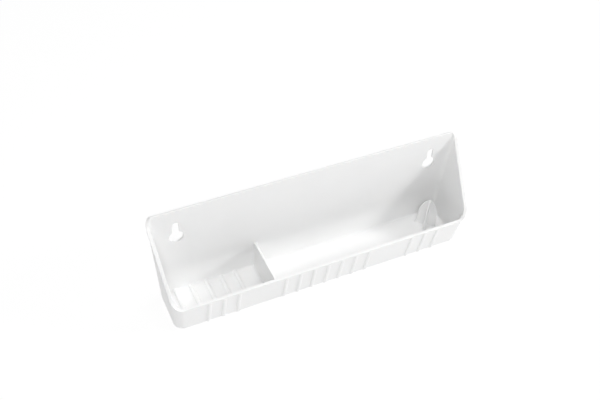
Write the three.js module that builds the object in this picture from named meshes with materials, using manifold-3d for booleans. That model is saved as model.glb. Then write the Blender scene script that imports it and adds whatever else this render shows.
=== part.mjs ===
// Sink-front tip-out tray: a long, shallow white plastic tray that hangs by two keyholes behind the
// false drawer front of a sink cabinet. Its tall back wall carries the keyholes, its low front wall has
// upright beads, a divider closes off a ridged soap compartment, and a finned post holds rings.
//
// Millimetres, +Z up, X along the tray, front towards -Y. The origin is the middle of the underside's
// bounding box. Inside the tray group the flat rear face lies at Y = 0.

import * as THREE from "three";
import { mergeVertices } from "three/addons/utils/BufferGeometryUtils.js";
import Module from "manifold-3d";

const wasm = await Module();
wasm.setup();

// Driving dimensions
const LENGTH = 279.4;         // 11 inches over the lip at its widest, just in front of the back corners
const DEPTH = 48;             // rear face to the front edge of the lip
const BACK_HEIGHT = 95;
const FRONT_HEIGHT = 31;
const WALL = 2;               // every wall and the floor
const FIT_GAP = 0.3;          // between the tray and the pieces that stand in it

const LIP_OVERHANG = 1;
const LIP_THICKNESS = 2;
const END_DRAFT = 0.065;      // each end leans out by this much for each unit of height
const FRONT_DRAFT = 0.17;     // and so does the front wall
const BACK_CORNER = 4.5;      // outer plan radii of the upright corners
const FRONT_CORNER = 8;
const FLOOR_FILLET = 2;       // where the walls meet the floor inside
const FOOT_ROUND = 1;         // round the underside's edge

const BEAD_WIDTH = 3.4;       // half-round beads on the front wall
const BEAD_HEIGHT = 0.95;
const BEAD_SIDES = 14;
const BEAD_PITCH = 12.8;
const BEAD_GROUP_SHIFT = 41.6; // the outer groups continue the row after a gap of this length
const RIDGE_COUNT = 5;        // drain ridges on the soap compartment's floor
const RIDGE_WIDTH = 3.6;
const RIDGE_HEIGHT = 1.6;
const RIDGE_PITCH = 13.5;
const RIDGE_TO_DIVIDER = 18.6; // from the last ridge to the divider

const KEYHOLE_X = 115.8;      // each side of the middle
const KEYHOLE_Z = 66;         // centre of the round part
const KEYHOLE_RADIUS = 6;
const KEYHOLE_SLOT = 5.4;     // slot width
const KEYHOLE_RISE = 13;      // round centre to the slot's top centre

const DIVIDER_X = -48.1;
const DIVIDER_THICKNESS = 2;
const DIVIDER_TOP = 30.5;

const POST_X = 115.5;
const POST_Y = -16.4;
const POST_RADIUS = 9.2;
const POST_SHOULDER = 17;     // where the fins' straight sides start to close, above the floor
const POST_HEIGHT = 31;       // above the floor
const FIN_THICKNESS = 1.8;

const CORNER_SEGMENTS = 8;
const ROUND_SEGMENTS = 3;

// Sizes that follow from them
const rimSlope = (BACK_HEIGHT - FRONT_HEIGHT) / DEPTH;
const widestHeight = BACK_HEIGHT - rimSlope * (BACK_CORNER + LIP_OVERHANG);
const baseHalfWidth = LENGTH / 2 - LIP_OVERHANG - widestHeight * END_DRAFT;
const baseDepth = DEPTH - LIP_OVERHANG - FRONT_HEIGHT * FRONT_DRAFT;
const quarter = Math.PI / 2;
const past = 10;              // how far cutters reach beyond what they cut

function solid(geometry) {
  geometry.deleteAttribute("normal");
  geometry.deleteAttribute("uv");
  const merged = mergeVertices(geometry, 1e-4);
  const vertProperties = new Float32Array(merged.attributes.position.array);
  const triVerts = [];
  for (let i = 0; i < merged.index.count; i += 3) {
    const [a, b, c] = merged.index.array.slice(i, i + 3);
    if (a !== b && b !== c && c !== a) triVerts.push(a, b, c);
  }
  const mesh = new wasm.Mesh({ numProp: 3, vertProperties, triVerts: new Uint32Array(triVerts) });
  return new wasm.Manifold(mesh);
}

function geometryOf(manifold) {
  const mesh = manifold.getMesh();
  const geometry = new THREE.BufferGeometry();
  geometry.setAttribute("position", new THREE.BufferAttribute(mesh.vertProperties, 3));
  geometry.setIndex(new THREE.BufferAttribute(mesh.triVerts, 1));
  return geometry;
}

// Stations once round the tray, anticlockwise in plan, on the wall's outline grown or shrunk by an
// offset. The outline never grows behind the rear face. Each corner leans with the walls beside it, so
// its radius stays the same all the way up.
function stations(offset) {
  const halfWidth = baseHalfWidth + offset;
  const back = Math.min(offset, 0);
  const front = -(baseDepth + offset);
  const backRadius = BACK_CORNER + offset;
  const frontRadius = FRONT_CORNER + offset;
  const frontX = halfWidth - frontRadius;
  const frontY = front + frontRadius;
  const backX = halfWidth - backRadius;
  const backY = back - backRadius;
  const corners = [
    { x: frontX, y: frontY, radius: frontRadius, start: -quarter, leanX: END_DRAFT, leanY: -FRONT_DRAFT },
    { x: backX, y: backY, radius: backRadius, start: 0, leanX: END_DRAFT, leanY: 0 },
    { x: -backX, y: backY, radius: backRadius, start: quarter, leanX: -END_DRAFT, leanY: 0 },
    { x: -frontX, y: frontY, radius: frontRadius, start: 2 * quarter, leanX: -END_DRAFT, leanY: -FRONT_DRAFT },
  ];
  const points = [];
  for (const { x, y, radius, start, leanX, leanY } of corners) {
    for (let i = 0; i <= CORNER_SEGMENTS; i++) {
      const angle = start + quarter * i / CORNER_SEGMENTS;
      const outwardX = Math.cos(angle);
      points.push({ x: x + radius * outwardX, y: y + radius * Math.sin(angle), outwardX, leanX, leanY });
    }
  }
  return points;
}

// The rim's outer edge lies in one sloping plane, from the top of the back wall to the front edge.
// Across the wall the rim is level, so every offset at a station shares that station's rim height.
function rimHeights() {
  return stations(LIP_OVERHANG).map((station) => {
    const upright = BACK_HEIGHT + rimSlope * station.y;
    return upright / (1 - rimSlope * station.leanY);
  });
}

// The lip is equally thick all round, so it is taller upright where the rim is steep.
function lipHeights() {
  return stations(LIP_OVERHANG).map((station) => {
    return LIP_THICKNESS * Math.hypot(1, rimSlope * station.outwardX);
  });
}

function ring(offset, heightAt) {
  return stations(offset).map((station, i) => {
    const z = heightAt(i);
    return new THREE.Vector3(station.x + z * station.leanX, station.y + z * station.leanY, z);
  });
}

// A closed body whose skin passes through a list of rings, with the first and the last ring capped.
function skin(rings) {
  const count = rings[0].length;
  const positions = rings.flat().flatMap((point) => point.toArray());
  const faces = [];
  for (let r = 0; r + 1 < rings.length; r++) {
    for (let i = 0; i < count; i++) {
      const next = (i + 1) % count;
      const a = r * count + i;
      const b = r * count + next;
      faces.push(a, b, b + count, a, b + count, a + count);
    }
  }
  const first = THREE.ShapeUtils.triangulateShape(rings[0], []);
  for (const [a, b, c] of first) faces.push(c, b, a);
  const last = THREE.ShapeUtils.triangulateShape(rings.at(-1), []);
  const start = (rings.length - 1) * count;
  for (const [a, b, c] of last) faces.push(start + a, start + b, start + c);
  const geometry = new THREE.BufferGeometry();
  geometry.setAttribute("position", new THREE.Float32BufferAttribute(positions, 3));
  geometry.setIndex(faces);
  return solid(geometry);
}

// The tray without its details: up the outside, over the lip and down the inside to the floor.
function cup() {
  const rim = rimHeights();
  const lip = lipHeights();
  const rings = [];
  for (let i = 0; i <= ROUND_SEGMENTS; i++) {
    const angle = quarter * i / ROUND_SEGMENTS;
    rings.push(ring(FOOT_ROUND * (Math.sin(angle) - 1), () => FOOT_ROUND * (1 - Math.cos(angle))));
  }
  rings.push(ring(0, (i) => rim[i] - lip[i]));
  rings.push(ring(LIP_OVERHANG, (i) => rim[i] - lip[i]));
  rings.push(ring(LIP_OVERHANG, (i) => rim[i]));
  rings.push(ring(-WALL, (i) => rim[i]));
  for (let i = 0; i <= ROUND_SEGMENTS; i++) {
    const angle = quarter * i / ROUND_SEGMENTS;
    const inset = FLOOR_FILLET * (1 - Math.cos(angle));
    rings.push(ring(-WALL - inset, () => WALL + FLOOR_FILLET * (1 - Math.sin(angle))));
  }
  return skin(rings);
}

// A long oval rod. Half of it sinks into the wall or floor that it stands on.
function rod(width, height, length) {
  const geometry = new THREE.CylinderGeometry(1, 1, length, BEAD_SIDES);
  return geometry.scale(width / 2, 1, height);
}

// Three groups of upright beads, 3, 7 and 3, from left to right.
function beadPositions() {
  const positions = [];
  for (let step = -3; step <= 3; step++) positions.push(step * BEAD_PITCH);
  for (let step = 3; step <= 5; step++) {
    positions.push(step * BEAD_PITCH + BEAD_GROUP_SHIFT);
    positions.push(-step * BEAD_PITCH - BEAD_GROUP_SHIFT);
  }
  return positions;
}

// The beads follow the front wall's lean, from the underside's rounded edge to inside the lip.
function frontBeads() {
  const bottom = FOOT_ROUND / 2;
  const top = FRONT_HEIGHT - LIP_THICKNESS / 2;
  const middle = (bottom + top) / 2;
  const beads = beadPositions().map((x) => {
    const geometry = rod(BEAD_WIDTH, BEAD_HEIGHT, top - bottom);
    geometry.rotateX(quarter + Math.atan(FRONT_DRAFT));
    geometry.translate(x, -baseDepth - middle * FRONT_DRAFT, middle);
    return solid(geometry);
  });
  return wasm.Manifold.union(beads);
}

function drainRidges() {
  const length = baseDepth - WALL;
  const last = DIVIDER_X - RIDGE_TO_DIVIDER;
  const ridges = [];
  for (let i = 0; i < RIDGE_COUNT; i++) {
    const geometry = rod(RIDGE_WIDTH, RIDGE_HEIGHT, length);
    geometry.translate(last - i * RIDGE_PITCH, -baseDepth / 2, WALL);
    ridges.push(solid(geometry));
  }
  return wasm.Manifold.union(ridges);
}

function keyhole(x) {
  const halfSlot = KEYHOLE_SLOT / 2;
  const meet = Math.acos(halfSlot / KEYHOLE_RADIUS);
  const outline = new THREE.Shape();
  outline.absarc(0, 0, KEYHOLE_RADIUS, meet, Math.PI - meet, true);
  outline.absarc(0, KEYHOLE_RISE, halfSlot, Math.PI, 0, true);
  const options = { depth: 2 * past, bevelEnabled: false, curveSegments: 2 * CORNER_SEGMENTS };
  const geometry = new THREE.ExtrudeGeometry(outline, options);
  geometry.rotateX(quarter);
  geometry.translate(x, past, KEYHOLE_Z);
  return solid(geometry);
}

function trayBody() {
  const body = cup().add(frontBeads()).add(drainRidges());
  return body.subtract(keyhole(KEYHOLE_X)).subtract(keyhole(-KEYHOLE_X));
}

// A plate from the back wall to the front wall. Its lower corners clear the fillets along the floor.
function divider() {
  const bottom = WALL + FIT_GAP;
  const back = -WALL - FIT_GAP;
  const cut = FLOOR_FILLET;
  const frontAt = (z) => FIT_GAP + WALL - baseDepth - z * FRONT_DRAFT;
  const outline = new THREE.Shape();
  outline.moveTo(back, DIVIDER_TOP);
  outline.lineTo(frontAt(DIVIDER_TOP), DIVIDER_TOP);
  outline.lineTo(frontAt(bottom + cut), bottom + cut);
  outline.quadraticCurveTo(frontAt(bottom) + cut / 4, bottom + cut / 4, frontAt(bottom) + cut, bottom);
  outline.lineTo(back - cut, bottom);
  outline.quadraticCurveTo(back - cut / 4, bottom + cut / 4, back, bottom + cut);
  const options = { depth: DIVIDER_THICKNESS, bevelEnabled: false, curveSegments: ROUND_SEGMENTS };
  const geometry = new THREE.ExtrudeGeometry(outline, options);
  const axes = new THREE.Matrix4().makeBasis(
    new THREE.Vector3(0, 1, 0),
    new THREE.Vector3(0, 0, 1),
    new THREE.Vector3(1, 0, 0),
  );
  geometry.applyMatrix4(axes);
  geometry.translate(-DIVIDER_THICKNESS / 2, 0, 0);
  return solid(geometry);
}

// Two crossed upright plates with a pointed arch outline, set diagonally.
function ringHolder() {
  const shoulder = POST_RADIUS - 1;
  const tip = FIN_THICKNESS / 2;
  const bulge = (POST_SHOULDER + 2 * POST_HEIGHT) / 3;
  const arch = new THREE.Shape();
  arch.moveTo(-POST_RADIUS, FIT_GAP);
  arch.lineTo(POST_RADIUS, FIT_GAP);
  arch.lineTo(shoulder, POST_SHOULDER);
  arch.quadraticCurveTo(shoulder * 0.78, bulge, tip, POST_HEIGHT);
  arch.lineTo(-tip, POST_HEIGHT);
  arch.quadraticCurveTo(-shoulder * 0.78, bulge, -shoulder, POST_SHOULDER);
  const options = { depth: FIN_THICKNESS, bevelEnabled: false, curveSegments: CORNER_SEGMENTS };
  const fins = [1, -1].map((side) => {
    const geometry = new THREE.ExtrudeGeometry(arch, options);
    geometry.translate(0, 0, -FIN_THICKNESS / 2);
    geometry.rotateX(quarter);
    geometry.rotateZ(side * quarter / 2);
    return solid(geometry);
  });
  return fins[0].add(fins[1]);
}

function piece(name, manifold, colour) {
  const material = new THREE.MeshStandardMaterial({ color: colour, roughness: 0.35, metalness: 0 });
  const object = new THREE.Mesh(geometryOf(manifold), material);
  object.name = name;
  return object;
}

const tray = new THREE.Group();
tray.position.y = DEPTH / 2;
tray.add(piece("tray_body", trayBody(), 0xf6f6f5));

const plate = piece("divider", divider(), 0xf4f4f3);
plate.position.x = DIVIDER_X;
tray.add(plate);

const post = piece("ring_holder", ringHolder(), 0xf4f4f3);
post.position.set(POST_X, POST_Y, WALL);
tray.add(post);

const part = new THREE.Group();
part.add(tray);

export default part;
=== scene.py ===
import math

import bmesh
import bpy
import numpy as np
from mathutils import Matrix, Vector


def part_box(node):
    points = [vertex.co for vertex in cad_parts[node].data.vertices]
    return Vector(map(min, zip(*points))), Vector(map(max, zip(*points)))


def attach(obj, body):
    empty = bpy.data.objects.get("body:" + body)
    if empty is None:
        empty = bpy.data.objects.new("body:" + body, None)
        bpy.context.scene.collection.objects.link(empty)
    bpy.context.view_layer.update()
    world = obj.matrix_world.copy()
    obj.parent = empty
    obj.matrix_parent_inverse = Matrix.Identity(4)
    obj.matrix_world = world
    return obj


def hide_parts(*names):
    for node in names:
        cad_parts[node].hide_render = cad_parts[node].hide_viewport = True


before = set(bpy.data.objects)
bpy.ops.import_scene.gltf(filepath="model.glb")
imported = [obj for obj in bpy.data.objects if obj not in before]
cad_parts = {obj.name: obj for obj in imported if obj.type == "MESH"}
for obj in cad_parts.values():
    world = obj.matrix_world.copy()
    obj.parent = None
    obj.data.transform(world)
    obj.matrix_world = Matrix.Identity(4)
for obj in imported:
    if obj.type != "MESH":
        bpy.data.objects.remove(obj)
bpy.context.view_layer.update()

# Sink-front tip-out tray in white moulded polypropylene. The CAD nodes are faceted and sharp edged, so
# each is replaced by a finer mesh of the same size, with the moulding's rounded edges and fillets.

MM = 0.001

# Overall sizes and places, from the frame
tray_low, tray_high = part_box("tray_body")
divider_low, divider_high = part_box("divider")
post_low, post_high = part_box("ring_holder")
LENGTH = tray_high.x - tray_low.x
DEPTH = tray_high.y - tray_low.y
REAR = tray_high.y
BACK_HEIGHT = tray_high.z

# The moulding's own dimensions
FRONT_HEIGHT = 31 * MM
WALL = 2 * MM
LIP_OVERHANG = 1 * MM
LIP_THICKNESS = 2 * MM
END_DRAFT = 0.065
FRONT_DRAFT = 0.17
BACK_CORNER = 4.5 * MM
FRONT_CORNER = 8 * MM
FLOOR_FILLET = 2 * MM
FOOT_ROUND = 1 * MM
EDGE_ROUND = 0.5 * MM
LIP_FILLET = 0.3 * MM

BEAD_WIDTH = 3.4 * MM
BEAD_HEIGHT = 0.95 * MM
BEAD_PITCH = 12.8 * MM
BEAD_GROUP_SHIFT = 41.6 * MM
RIDGE_COUNT = 5
RIDGE_WIDTH = 3.6 * MM
RIDGE_HEIGHT = 1.6 * MM
RIDGE_PITCH = 13.5 * MM
RIDGE_TO_DIVIDER = 18.6 * MM
BEAD_FILLET = 0.3 * MM      # where a bead or a ridge runs into its wall

KEYHOLE_X = 115.8 * MM
KEYHOLE_Z = 66 * MM
KEYHOLE_RADIUS = 6 * MM
KEYHOLE_SLOT = 5.4 * MM
KEYHOLE_RISE = 13 * MM
KEYHOLE_ROUND = 0.35 * MM

POST_TAPER = 1 * MM         # how much the fins' reach shrinks up to the shoulder
POST_SHOULDER = 17 * MM     # height above the floor where the fins start to close
POST_BULGE = 0.78           # how full the pointed arch above it is
POST_TIP = 0.35 * MM
FIN_THICKNESS = 1.8 * MM
FIN_TOP_THICKNESS = 1.3 * MM
FIN_FILLET = 1 * MM

JOIN_FILLET = 1.2 * MM      # where the divider and the post grow out of the tray
JOIN_SINK = 0.4 * MM        # how far they reach into it

# How finely the surfaces are divided
ARC_STEPS = 7
ROUND_STEPS = 4
WALL_ROWS = 16
END_STEPS = 9
LONGEST_STEP = 3.2 * MM
SHORTEST_STEP = 0.03 * MM
CORNER_REACH = 6 * MM       # how far a flat patch eases from straight columns into the round ends

rim_slope = (BACK_HEIGHT - FRONT_HEIGHT) / DEPTH
widest_height = BACK_HEIGHT - rim_slope * (BACK_CORNER + LIP_OVERHANG)
half_width = LENGTH / 2 - LIP_OVERHANG - widest_height * END_DRAFT
base_depth = DEPTH - LIP_OVERHANG - FRONT_HEIGHT * FRONT_DRAFT
divider_x = (divider_low.x + divider_high.x) / 2
bead_places = [k * BEAD_PITCH for k in range(-3, 4)]
bead_places += [side * (k * BEAD_PITCH + BEAD_GROUP_SHIFT) for k in (3, 4, 5) for side in (-1, 1)]
ridge_places = [divider_x - RIDGE_TO_DIVIDER - k * RIDGE_PITCH for k in range(RIDGE_COUNT)]


# Beads and ridges: a half oval that runs into a small fillet on each side

def bead_section(width, height):
    """Half of a bead's section, as distances from its middle line and heights above the surface."""
    turn = np.radians((0, 18, 36, 52, 66, 78))
    foot = np.radians((30, 60, 90))
    edge = width / 2 * math.sin(turn[-1])
    low = height * math.cos(turn[-1])
    distance = np.concatenate([width / 2 * np.sin(turn), edge + BEAD_FILLET * (1 - np.cos(foot))])
    height = np.concatenate([height * np.cos(turn), low * (1 - np.sin(foot))])
    return distance, height


bead = bead_section(BEAD_WIDTH, BEAD_HEIGHT)
ridge = bead_section(RIDGE_WIDTH, RIDGE_HEIGHT)


def rise(x, places, section):
    """How far the surface stands up at x for a bead of the given section along each of the places."""
    nearest = np.abs(np.asarray(x)[..., None] - np.array(places)).min(axis=-1)
    return np.interp(nearest, *section)


def columns_along():
    """The x of each column of faces between the corners: close over the beads, wide between them."""
    ends = half_width - FRONT_CORNER
    marks = {-ends, ends}
    for places, section in ((bead_places, bead), (ridge_places, ridge)):
        marks.update(place + side * d for place in places for d in section[0] for side in (-1, 1))
    marks = [x for x in sorted(marks) if -ends <= x <= ends]
    columns = []
    for low, high in zip(marks, marks[1:]):
        if high - low < SHORTEST_STEP:
            continue
        count = math.ceil((high - low) / LONGEST_STEP)
        columns += [low + (high - low) * k / count for k in range(count)]
    return np.array(columns[1:])


# The tray's plan

along = columns_along()
across = np.linspace(0, 1, END_STEPS + 1)[1:-1]


def arc(centre, radius, start):
    """An eighth of a circle's points and normals, from the start angle."""
    angles = np.radians(np.linspace(start, start + 45, ARC_STEPS + 1))
    normals = np.column_stack([np.cos(angles), np.sin(angles)])
    return np.asarray(centre) + radius * normals, normals


def straight(x, y, normal):
    """The points of a straight side, with its normal at each."""
    x, y = np.broadcast_arrays(x, y)
    return np.column_stack([x, y]), np.tile(normal, (len(x), 1))


def outline(offset):
    """Places and outward normals once round the foot of the wall, grown by offset. It starts in the middle
    of the front left corner and runs anticlockwise. The rear face stays at zero."""
    back = min(offset, 0)
    front = -(base_depth + offset)
    front_radius = FRONT_CORNER + offset
    back_radius = BACK_CORNER + offset
    side = half_width + offset
    front_y = front + front_radius
    back_y = back - back_radius
    front_x = side - front_radius
    back_x = side - back_radius
    runs = [
        arc((-front_x, front_y), front_radius, 225),
        straight(along, front, (0, -1)),
        arc((front_x, front_y), front_radius, 270),
        arc((front_x, front_y), front_radius, 315),
        straight(side, front_y + (back_y - front_y) * across, (1, 0)),
        arc((back_x, back_y), back_radius, 0),
        arc((back_x, back_y), back_radius, 45),
        straight(along[::-1], back, (0, 1)),
        arc((-back_x, back_y), back_radius, 90),
        arc((-back_x, back_y), back_radius, 135),
        straight(-side, back_y + (front_y - back_y) * across, (-1, 0)),
        arc((-front_x, front_y), front_radius, 180),
    ]
    last_of_side = (2, 5, 8, 11)
    runs = [(p[:-1], n[:-1]) if i in last_of_side else (p, n) for i, (p, n) in enumerate(runs)]
    return np.concatenate([p for p, n in runs]), np.concatenate([n for p, n in runs])


normals = outline(0)[1]
columns = 2 * ARC_STEPS + len(along) + 1
rows = 2 * ARC_STEPS + len(across) + 1


def leans():
    """How far each station moves for each unit of height. A corner leans with the walls beside it, so its
    radius stays the same all the way up, and the part of the front wall with beads moves straight out."""
    x, y = outline(0)[0].T
    beads_end = max(bead_places) + BEAD_WIDTH
    corner_x = half_width - FRONT_CORNER
    corner_y = FRONT_CORNER - base_depth
    sideways = np.clip((np.abs(x) - beads_end) / (corner_x - beads_end), 0, 1)
    forward = np.clip((-BACK_CORNER - y) / (-BACK_CORNER - corner_y), 0, 1)
    return np.column_stack([END_DRAFT * sideways * np.sign(x), -FRONT_DRAFT * forward])


lean = leans()


def rim_height():
    """The rim's height at each station: the lip's outer edge lies in one plane that slopes to the front."""
    y = outline(LIP_OVERHANG)[0][:, 1]
    return (BACK_HEIGHT + rim_slope * y) / (1 - rim_slope * lean[:, 1])


rim = rim_height()
steepness = np.sqrt(1 + (rim_slope * normals[:, 0]) ** 2)


def loop(offset, height, extra=0.0):
    """A closed line of points round the tray, extra further out where that is given."""
    height = np.broadcast_to(height, rim.shape)
    places = outline(offset)[0] + normals * np.broadcast_to(extra, rim.shape)[:, None]
    return np.column_stack([places + lean * height[:, None], height])


def quarter(count=ROUND_STEPS):
    """Angles through a quarter turn."""
    return np.linspace(0, math.pi / 2, count + 1)


def outside_loops():
    """Up from the underside: the rounded foot and the wall with its beads."""
    front = normals[:, 1] < -0.999
    beads = np.where(front, rise(outline(0)[0][:, 0], bead_places, bead), 0)
    loops = []
    for a in quarter():
        offset = FOOT_ROUND * (math.sin(a) - 1)
        height = FOOT_ROUND * (1 - math.cos(a))
        loops.append(loop(offset, height, beads * math.sin(a)))
    top = rim - (LIP_THICKNESS + LIP_FILLET) * steepness
    for share in np.linspace(0, 1, WALL_ROWS)[1:]:
        loops.append(loop(0, FOOT_ROUND + (top - FOOT_ROUND) * share, beads))
    for a in quarter(2)[1:]:
        out = LIP_FILLET * (1 - math.cos(a))
        drop = LIP_THICKNESS + LIP_FILLET * (1 - math.sin(a))
        loops.append(loop(out, rim - drop * steepness, np.maximum(beads - out, 0)))
    return loops


def lip_loops():
    """Round the lip and over the rim to the inside. There is no lip behind the back wall, so the rim's
    rear edge is set back by the rounding itself."""
    radius = EDGE_ROUND
    edge = LIP_OVERHANG - radius
    behind = np.maximum(normals[:, 1], 0)
    under = [(edge + radius * math.sin(a), LIP_THICKNESS - radius * (1 - math.cos(a))) for a in quarter()]
    loops = [loop(offset, rim - drop * steepness) for offset, drop in under]
    for a in quarter():
        set_back = radius * (1 - math.cos(a))
        drop = radius * (1 - math.sin(a))
        loops.append(loop(LIP_OVERHANG - set_back, rim - drop * steepness, -set_back * behind))
    for a in quarter():
        drop = radius * (1 - math.cos(a))
        loops.append(loop(radius * (1 - math.sin(a)) - WALL, rim - drop * steepness))
    return loops


def inside_loops():
    """Down the inside of the wall and round the fillet to the floor, where the ridges run into it."""
    bottom = WALL + FLOOR_FILLET
    top = rim - EDGE_ROUND * steepness
    loops = [loop(-WALL, top + (bottom - top) * share) for share in np.linspace(0, 1, WALL_ROWS)[1:-1]]
    for a in quarter(7):
        above = FLOOR_FILLET * (1 - math.sin(a))
        points = loop(-WALL - FLOOR_FILLET * (1 - math.cos(a)), WALL + above)
        if a > 0:
            points[:, 2] = WALL + joined(above, rise(points[:, 0], ridge_places, ridge))
        loops.append(points)
    return loops


def joined(a, b):
    """The higher of two heights, with a soft change from one to the other."""
    return (a ** 4 + b ** 4) ** 0.25


def patch(boundary):
    """Fills a loop with a grid of points: straight columns from front to back, eased to the round ends."""
    front = boundary[:columns + 1]
    right = boundary[columns:columns + rows + 1]
    back = boundary[columns + rows:2 * columns + rows + 1][::-1]
    left = np.concatenate([boundary[2 * columns + rows:], boundary[:1]])[::-1]
    share = (left[:, 1] - left[0, 1]) / (left[-1, 1] - left[0, 1])
    grid = front[:, None] + (back - front)[:, None] * share[None, :, None]
    for side, edge in ((0, left), (columns, right)):
        distance = np.abs(grid[:, :1, 0] - grid[side, 0, 0])
        weight = np.clip(1 - distance / CORNER_REACH, 0, 1) ** 2
        grid = grid + weight[..., None] * (edge - grid[side])[None]
    return grid


class Builder:
    """Collects the points and faces of one mesh."""

    def __init__(self):
        self.points = []
        self.faces = []

    def add(self, points):
        start = len(self.points)
        self.points.extend(map(tuple, points))
        return np.arange(start, start + len(points))

    def strip(self, lower, upper, closed=True):
        """Faces between two lines of points with as many points each."""
        count = len(lower)
        for i in range(count if closed else count - 1):
            j = (i + 1) % count
            self.faces.append((lower[i], lower[j], upper[j], upper[i]))

    def finish(self, name):
        mesh = bpy.data.meshes.new(name)
        points = [tuple(map(float, point)) for point in self.points]
        faces = [tuple(map(int, face)) for face in self.faces]
        mesh.from_pydata(points, [], faces)
        piece = bpy.data.objects.new(name, mesh)
        bpy.context.scene.collection.objects.link(piece)
        tidy = bmesh.new()
        tidy.from_mesh(mesh)
        bmesh.ops.remove_doubles(tidy, verts=tidy.verts, dist=0.002 * MM)
        bmesh.ops.dissolve_degenerate(tidy, edges=tidy.edges, dist=0.001 * MM)
        bmesh.ops.recalc_face_normals(tidy, faces=tidy.faces)
        tidy.to_mesh(mesh)
        tidy.free()
        mesh.shade_smooth()
        return piece


def fill(builder, boundary, indices, ridges=False):
    """The flat patch inside a loop that is already in the mesh."""
    grid = patch(boundary)
    if ridges:
        grid[..., 2] = WALL + rise(grid[..., 0], ridge_places, ridge)
    inner = builder.add(grid[1:-1, 1:-1].reshape(-1, 3)).reshape(columns - 1, rows - 1)
    table = np.zeros((columns + 1, rows + 1), int)
    table[1:-1, 1:-1] = inner
    table[:, 0] = indices[:columns + 1]
    table[-1, :] = indices[columns:columns + rows + 1]
    table[:, -1] = indices[columns + rows:2 * columns + rows + 1][::-1]
    table[0, :] = np.append(indices[2 * columns + rows:], indices[0])[::-1]
    for low, high in zip(table, table[1:]):
        builder.strip(low, high, closed=False)


def tray_shell():
    """The tray as one closed skin, before its keyholes are cut."""
    builder = Builder()
    loops = outside_loops() + lip_loops() + inside_loops()
    lines = [builder.add(points) for points in loops]
    for lower, upper in zip(lines, lines[1:]):
        builder.strip(lower, upper)
    fill(builder, loops[0], lines[0])
    fill(builder, loops[-1], lines[-1], ridges=True)
    return builder.finish("tray_shell")


# Keyholes, with softly rounded mouths on both faces of the back wall

def keyhole_loop(x, y, grow):
    """A keyhole's outline in the plane y: the round part and the slot above it, grown by a margin."""
    radius = KEYHOLE_RADIUS + grow
    slot = KEYHOLE_SLOT / 2 + grow
    meet = math.acos(slot / radius)
    turn = np.linspace(meet, -math.pi - meet, 41)
    top = np.linspace(math.pi, 0, 17)
    across = np.concatenate([radius * np.cos(turn), slot * np.cos(top)])
    up = np.concatenate([radius * np.sin(turn), KEYHOLE_RISE + slot * np.sin(top)])
    return np.column_stack([x + across, np.full(len(up), y), KEYHOLE_Z + up])


def keyhole_cutter(x):
    """A body through the back wall that widens at both of its faces."""
    turns = np.radians((20, 38, 56, 74, 90))
    mouth = [(KEYHOLE_ROUND * (1 - math.cos(a)), KEYHOLE_ROUND * (1 - math.sin(a))) for a in turns]
    depth, grow = mouth[0]
    clear = 0.3 * MM
    mouth.insert(0, (-clear, grow + (clear + depth) / math.tan(turns[0])))
    section = [(-depth, grow) for depth, grow in mouth]
    section += [(depth - WALL, grow) for depth, grow in reversed(mouth)]
    builder = Builder()
    lines = [builder.add(keyhole_loop(x, y, grow)) for y, grow in section]
    for lower, upper in zip(lines, lines[1:]):
        builder.strip(lower, upper)
    builder.faces += [tuple(lines[0]), tuple(lines[-1])]
    return builder.finish("keyhole_cutter")


def cut(piece, cutter):
    modifier = piece.modifiers.new("cut", "BOOLEAN")
    modifier.operation = "DIFFERENCE"
    modifier.solver = "EXACT"
    modifier.object = cutter
    shape = bpy.data.meshes.new_from_object(piece.evaluated_get(bpy.context.evaluated_depsgraph_get()))
    piece.modifiers.clear()
    piece.data = shape
    bpy.data.objects.remove(cutter)


# The divider and the ring post grow out of the tray with small fillets

def flare(distance):
    """How much a plate thickens near a face that it meets."""
    short = np.clip(JOIN_FILLET - np.asarray(distance), 0, JOIN_FILLET)
    return JOIN_FILLET - np.sqrt(JOIN_FILLET ** 2 - short ** 2)


def from_face():
    """Distances from a face at which a fillet's surface is divided."""
    return np.concatenate([[-JOIN_SINK], JOIN_FILLET * (1 - np.sin(np.radians((90, 72, 54, 36, 18, 0))))])


def divider_plate():
    """The plate from the back wall to the front wall, in slices from back to front."""
    top = divider_high.z
    half = (divider_high.x - divider_low.x) / 2
    climb = np.concatenate([WALL + from_face(), np.linspace(WALL + JOIN_FILLET, top - EDGE_ROUND, 9)[1:]])
    side = [(half, z) for z in climb]
    for a in quarter()[1:]:
        side.append((half - EDGE_ROUND * (1 - math.cos(a)), top - EDGE_ROUND * (1 - math.sin(a))))
    section = side + [(-x, z) for x, z in reversed(side)]
    inward = from_face()
    middle = np.linspace(0, 1, 12)[1:-1]
    builder = Builder()
    lines = []
    for k in range(2 * len(inward) + len(middle)):
        points = []
        for x, z in section:
            back = -WALL
            front = WALL - base_depth - z * FRONT_DRAFT
            if k < len(inward):
                y = back - inward[k]
            elif k < len(inward) + len(middle):
                share = middle[k - len(inward)]
                y = (back - JOIN_FILLET) * (1 - share) + (front + JOIN_FILLET) * share
            else:
                y = front + inward[2 * len(inward) + len(middle) - 1 - k]
            thicker = flare(z - WALL) + flare(back - y) + flare(y - front)
            points.append((divider_x + x + math.copysign(thicker, x), REAR + y, z))
        lines.append(builder.add(points))
    for lower, upper in zip(lines, lines[1:]):
        builder.strip(lower, upper)
    builder.faces += [tuple(lines[0]), tuple(lines[-1])]
    return builder.finish("divider_plate")


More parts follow.
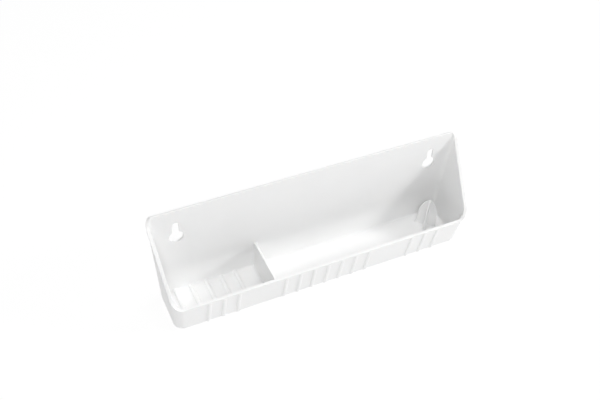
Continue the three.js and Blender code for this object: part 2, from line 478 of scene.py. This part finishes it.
def fin_section(radius, half, fillet):
    """A cross of four round-ended fins with fillets between them."""
    half = min(half, 0.4 * radius)
    fillet = min(fillet, 0.5 * (radius - 2 * half))
    corner = half + fillet
    fillet_turn = np.radians(np.linspace(135, 90, 4))
    inner = [(corner + fillet * math.cos(a), -corner + fillet * math.sin(a)) for a in fillet_turn]
    side = [(x, -half) for x in np.linspace(corner, radius - half, 5)[1:-1]]
    end_turn = np.radians(np.linspace(-90, 90, 9))
    end = [(radius - half + half * math.cos(a), half * math.sin(a)) for a in end_turn]
    lower = inner + side
    fin = lower + end + [(x, -y) for x, y in reversed(lower)][:-1]
    points = []
    for quarter_turn in range(4):
        turn = math.radians(45 + 90 * quarter_turn)
        c, s = math.cos(turn), math.sin(turn)
        points += [(x * c - y * s, x * s + y * c) for x, y in fin]
    return np.array(points)


def post_profile():
    """Heights above the floor and the fins' reach there: a slight taper, then a pointed arch."""
    height = post_high.z - WALL
    reach = (post_high.x - post_low.x) / (2 * math.sin(math.radians(45))) - FIN_THICKNESS / 2
    shoulder = reach - POST_TAPER
    low = np.concatenate([from_face(), np.linspace(JOIN_FILLET, POST_SHOULDER, 8)[1:]])
    profile = [(z, reach - POST_TAPER * max(z, 0) / POST_SHOULDER) for z in low]
    bend_height = (POST_SHOULDER + 2 * height) / 3
    for s in np.linspace(0, 1, 19)[1:]:
        z = (1 - s) ** 2 * POST_SHOULDER + 2 * s * (1 - s) * bend_height + s * s * height
        r = (1 - s) ** 2 * shoulder + 2 * s * (1 - s) * shoulder * POST_BULGE + s * s * POST_TIP
        profile.append((z, r))
    return profile


def ring_post():
    """The finned post, in slices from the floor to its tip."""
    centre = np.array([(post_low.x + post_high.x) / 2, (post_low.y + post_high.y) / 2])
    height = post_high.z - WALL
    builder = Builder()
    lines = []
    for z, reach in post_profile():
        thicker = float(flare(z))
        half = (FIN_THICKNESS + (FIN_TOP_THICKNESS - FIN_THICKNESS) * max(z, 0) / height) / 2
        section = fin_section(reach + thicker, half + thicker, FIN_FILLET)
        lines.append(builder.add(np.column_stack([centre + section, np.full(len(section), WALL + z)])))
    for lower, upper in zip(lines, lines[1:]):
        builder.strip(lower, upper)
    builder.faces += [tuple(lines[0]), tuple(lines[-1])]
    return builder.finish("ring_post")


# White polypropylene: a satin surface with fine mould texture and a faint drift in tone

def node(tree, kind, **values):
    """Adds a node and sets its sockets or its properties."""
    made = tree.nodes.new(kind)
    for name, value in values.items():
        if name in made.inputs:
            made.inputs[name].default_value = value
        else:
            setattr(made, name, value)
    return made


def white_plastic():
    material = bpy.data.materials.new("white_polypropylene")
    material.use_nodes = True
    tree = material.node_tree
    tree.nodes.clear()
    place = node(tree, "ShaderNodeTexCoord")
    shader = node(tree, "ShaderNodeBsdfPrincipled", IOR=1.49)
    shader.inputs["Specular IOR Level"].default_value = 0.5
    shader.inputs["Subsurface Weight"].default_value = 0.12
    shader.inputs["Subsurface Radius"].default_value = (1.0, 0.95, 0.9)
    shader.inputs["Subsurface Scale"].default_value = 1.5 * MM
    output = node(tree, "ShaderNodeOutputMaterial")

    drift = node(tree, "ShaderNodeTexNoise", Scale=28, Detail=3)
    tone = node(tree, "ShaderNodeValToRGB")
    tone.color_ramp.elements[0].position = 0.35
    tone.color_ramp.elements[0].color = (0.934, 0.936, 0.935, 1)
    tone.color_ramp.elements[1].position = 0.65
    tone.color_ramp.elements[1].color = (0.948, 0.949, 0.947, 1)

    cloud = node(tree, "ShaderNodeTexNoise", Scale=90, Detail=4)
    gloss = node(tree, "ShaderNodeMapRange")
    gloss.inputs["To Min"].default_value = 0.34
    gloss.inputs["To Max"].default_value = 0.46

    grain = node(tree, "ShaderNodeTexNoise", Scale=1800, Detail=2)
    bump = node(tree, "ShaderNodeBump", Strength=0.25, Distance=0.02 * MM)

    links = tree.links
    for texture in (drift, cloud, grain):
        links.new(place.outputs["Object"], texture.inputs["Vector"])
    links.new(drift.outputs["Fac"], tone.inputs["Fac"])
    links.new(tone.outputs["Color"], shader.inputs["Base Color"])
    links.new(cloud.outputs["Fac"], gloss.inputs["Value"])
    links.new(gloss.outputs["Result"], shader.inputs["Roughness"])
    links.new(grain.outputs["Fac"], bump.inputs["Height"])
    links.new(bump.outputs["Normal"], shader.inputs["Normal"])
    links.new(shader.outputs["BSDF"], output.inputs["Surface"])
    return material


def put_in_place(piece, node_name, material):
    """Gives a piece its material and puts it in the place of a CAD node."""
    piece.data.materials.clear()
    piece.data.materials.append(material)
    weighted = piece.modifiers.new("flat faces keep their shading", "WEIGHTED_NORMAL")
    weighted.keep_sharp = True
    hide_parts(node_name)
    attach(piece, "root")


# Stage: a pale glowing floor, four soft lamps and a dim, even surround

FLOOR_GAP = 0.2 * MM
FLOOR_GLOW = 0.93
SURROUND = 0.18
LAMP_DISTANCE = 1.3
# Each lamp's direction (degrees round from the front towards the right, degrees up), size and watts
LAMPS = {
    "key": (66, 27, 0.25, 6.4),
    "front": (-25, 45, 0.4, 4.0),
    "back": (120, 65, 0.4, 2.6),
    "top": (0, 88, 0.4, 4.1),
}


def floor():
    mesh = bpy.data.meshes.new("floor")
    reach = 4
    corners = [(-reach, -reach, 0), (reach, -reach, 0), (reach, reach, 0), (-reach, reach, 0)]
    mesh.from_pydata(corners, [], [(0, 1, 2, 3)])
    sheet = bpy.data.objects.new("floor", mesh)
    sheet.location.z = -FLOOR_GAP
    bpy.context.scene.collection.objects.link(sheet)
    material = bpy.data.materials.new("pale_floor")
    material.use_nodes = True
    shader = material.node_tree.nodes["Principled BSDF"]
    shader.inputs["Base Color"].default_value = (0.1, 0.1, 0.1, 1)
    shader.inputs["Specular IOR Level"].default_value = 0
    shader.inputs["Emission Color"].default_value = (1, 1, 1, 1)
    shader.inputs["Emission Strength"].default_value = FLOOR_GLOW
    mesh.materials.append(material)


def lamp(name, azimuth, elevation, size, power):
    around = math.radians(azimuth)
    up = math.radians(elevation)
    direction = Vector((math.sin(around) * math.cos(up), -math.cos(around) * math.cos(up), math.sin(up)))
    data = bpy.data.lights.new(name, "AREA")
    data.shape = "SQUARE"
    data.size = size
    data.energy = power
    made = bpy.data.objects.new(name, data)
    made.location = direction * LAMP_DISTANCE
    made.rotation_euler = direction.to_track_quat("Z", "Y").to_euler()
    bpy.context.scene.collection.objects.link(made)


def surround():
    world = bpy.data.worlds.new("surround")
    world.use_nodes = True
    world.node_tree.nodes["Background"].inputs["Color"].default_value = (1, 1, 1, 1)
    world.node_tree.nodes["Background"].inputs["Strength"].default_value = SURROUND
    bpy.context.scene.world = world


def camera():
    data = bpy.data.cameras.new("camera")
    data.sensor_width = 36
    data.lens = 50.59
    view = bpy.data.objects.new("camera", data)
    turn = Matrix.Rotation(math.radians(-27.52), 4, "Z")
    tilt = Matrix.Rotation(math.radians(90 - 45.17), 4, "X")
    roll = Matrix.Rotation(math.radians(3.88), 4, "Z")
    place = Matrix.Translation((-0.2362, REAR - 0.4393, 0.5625))
    view.matrix_world = place @ turn @ tilt @ roll
    bpy.context.scene.collection.objects.link(view)
    bpy.context.scene.camera = view


plastic = white_plastic()
shell = tray_shell()
for side in (-1, 1):
    cut(shell, keyhole_cutter(side * KEYHOLE_X))
shell.data.transform(Matrix.Translation((0, REAR, 0)))
put_in_place(shell, "tray_body", plastic)
put_in_place(divider_plate(), "divider", plastic)
put_in_place(ring_post(), "ring_holder", plastic)
floor()
for name, (azimuth, elevation, size, power) in LAMPS.items():
    lamp(name, azimuth, elevation, size, power)
surround()
camera()
bpy.context.scene.view_settings.view_transform = "Standard"
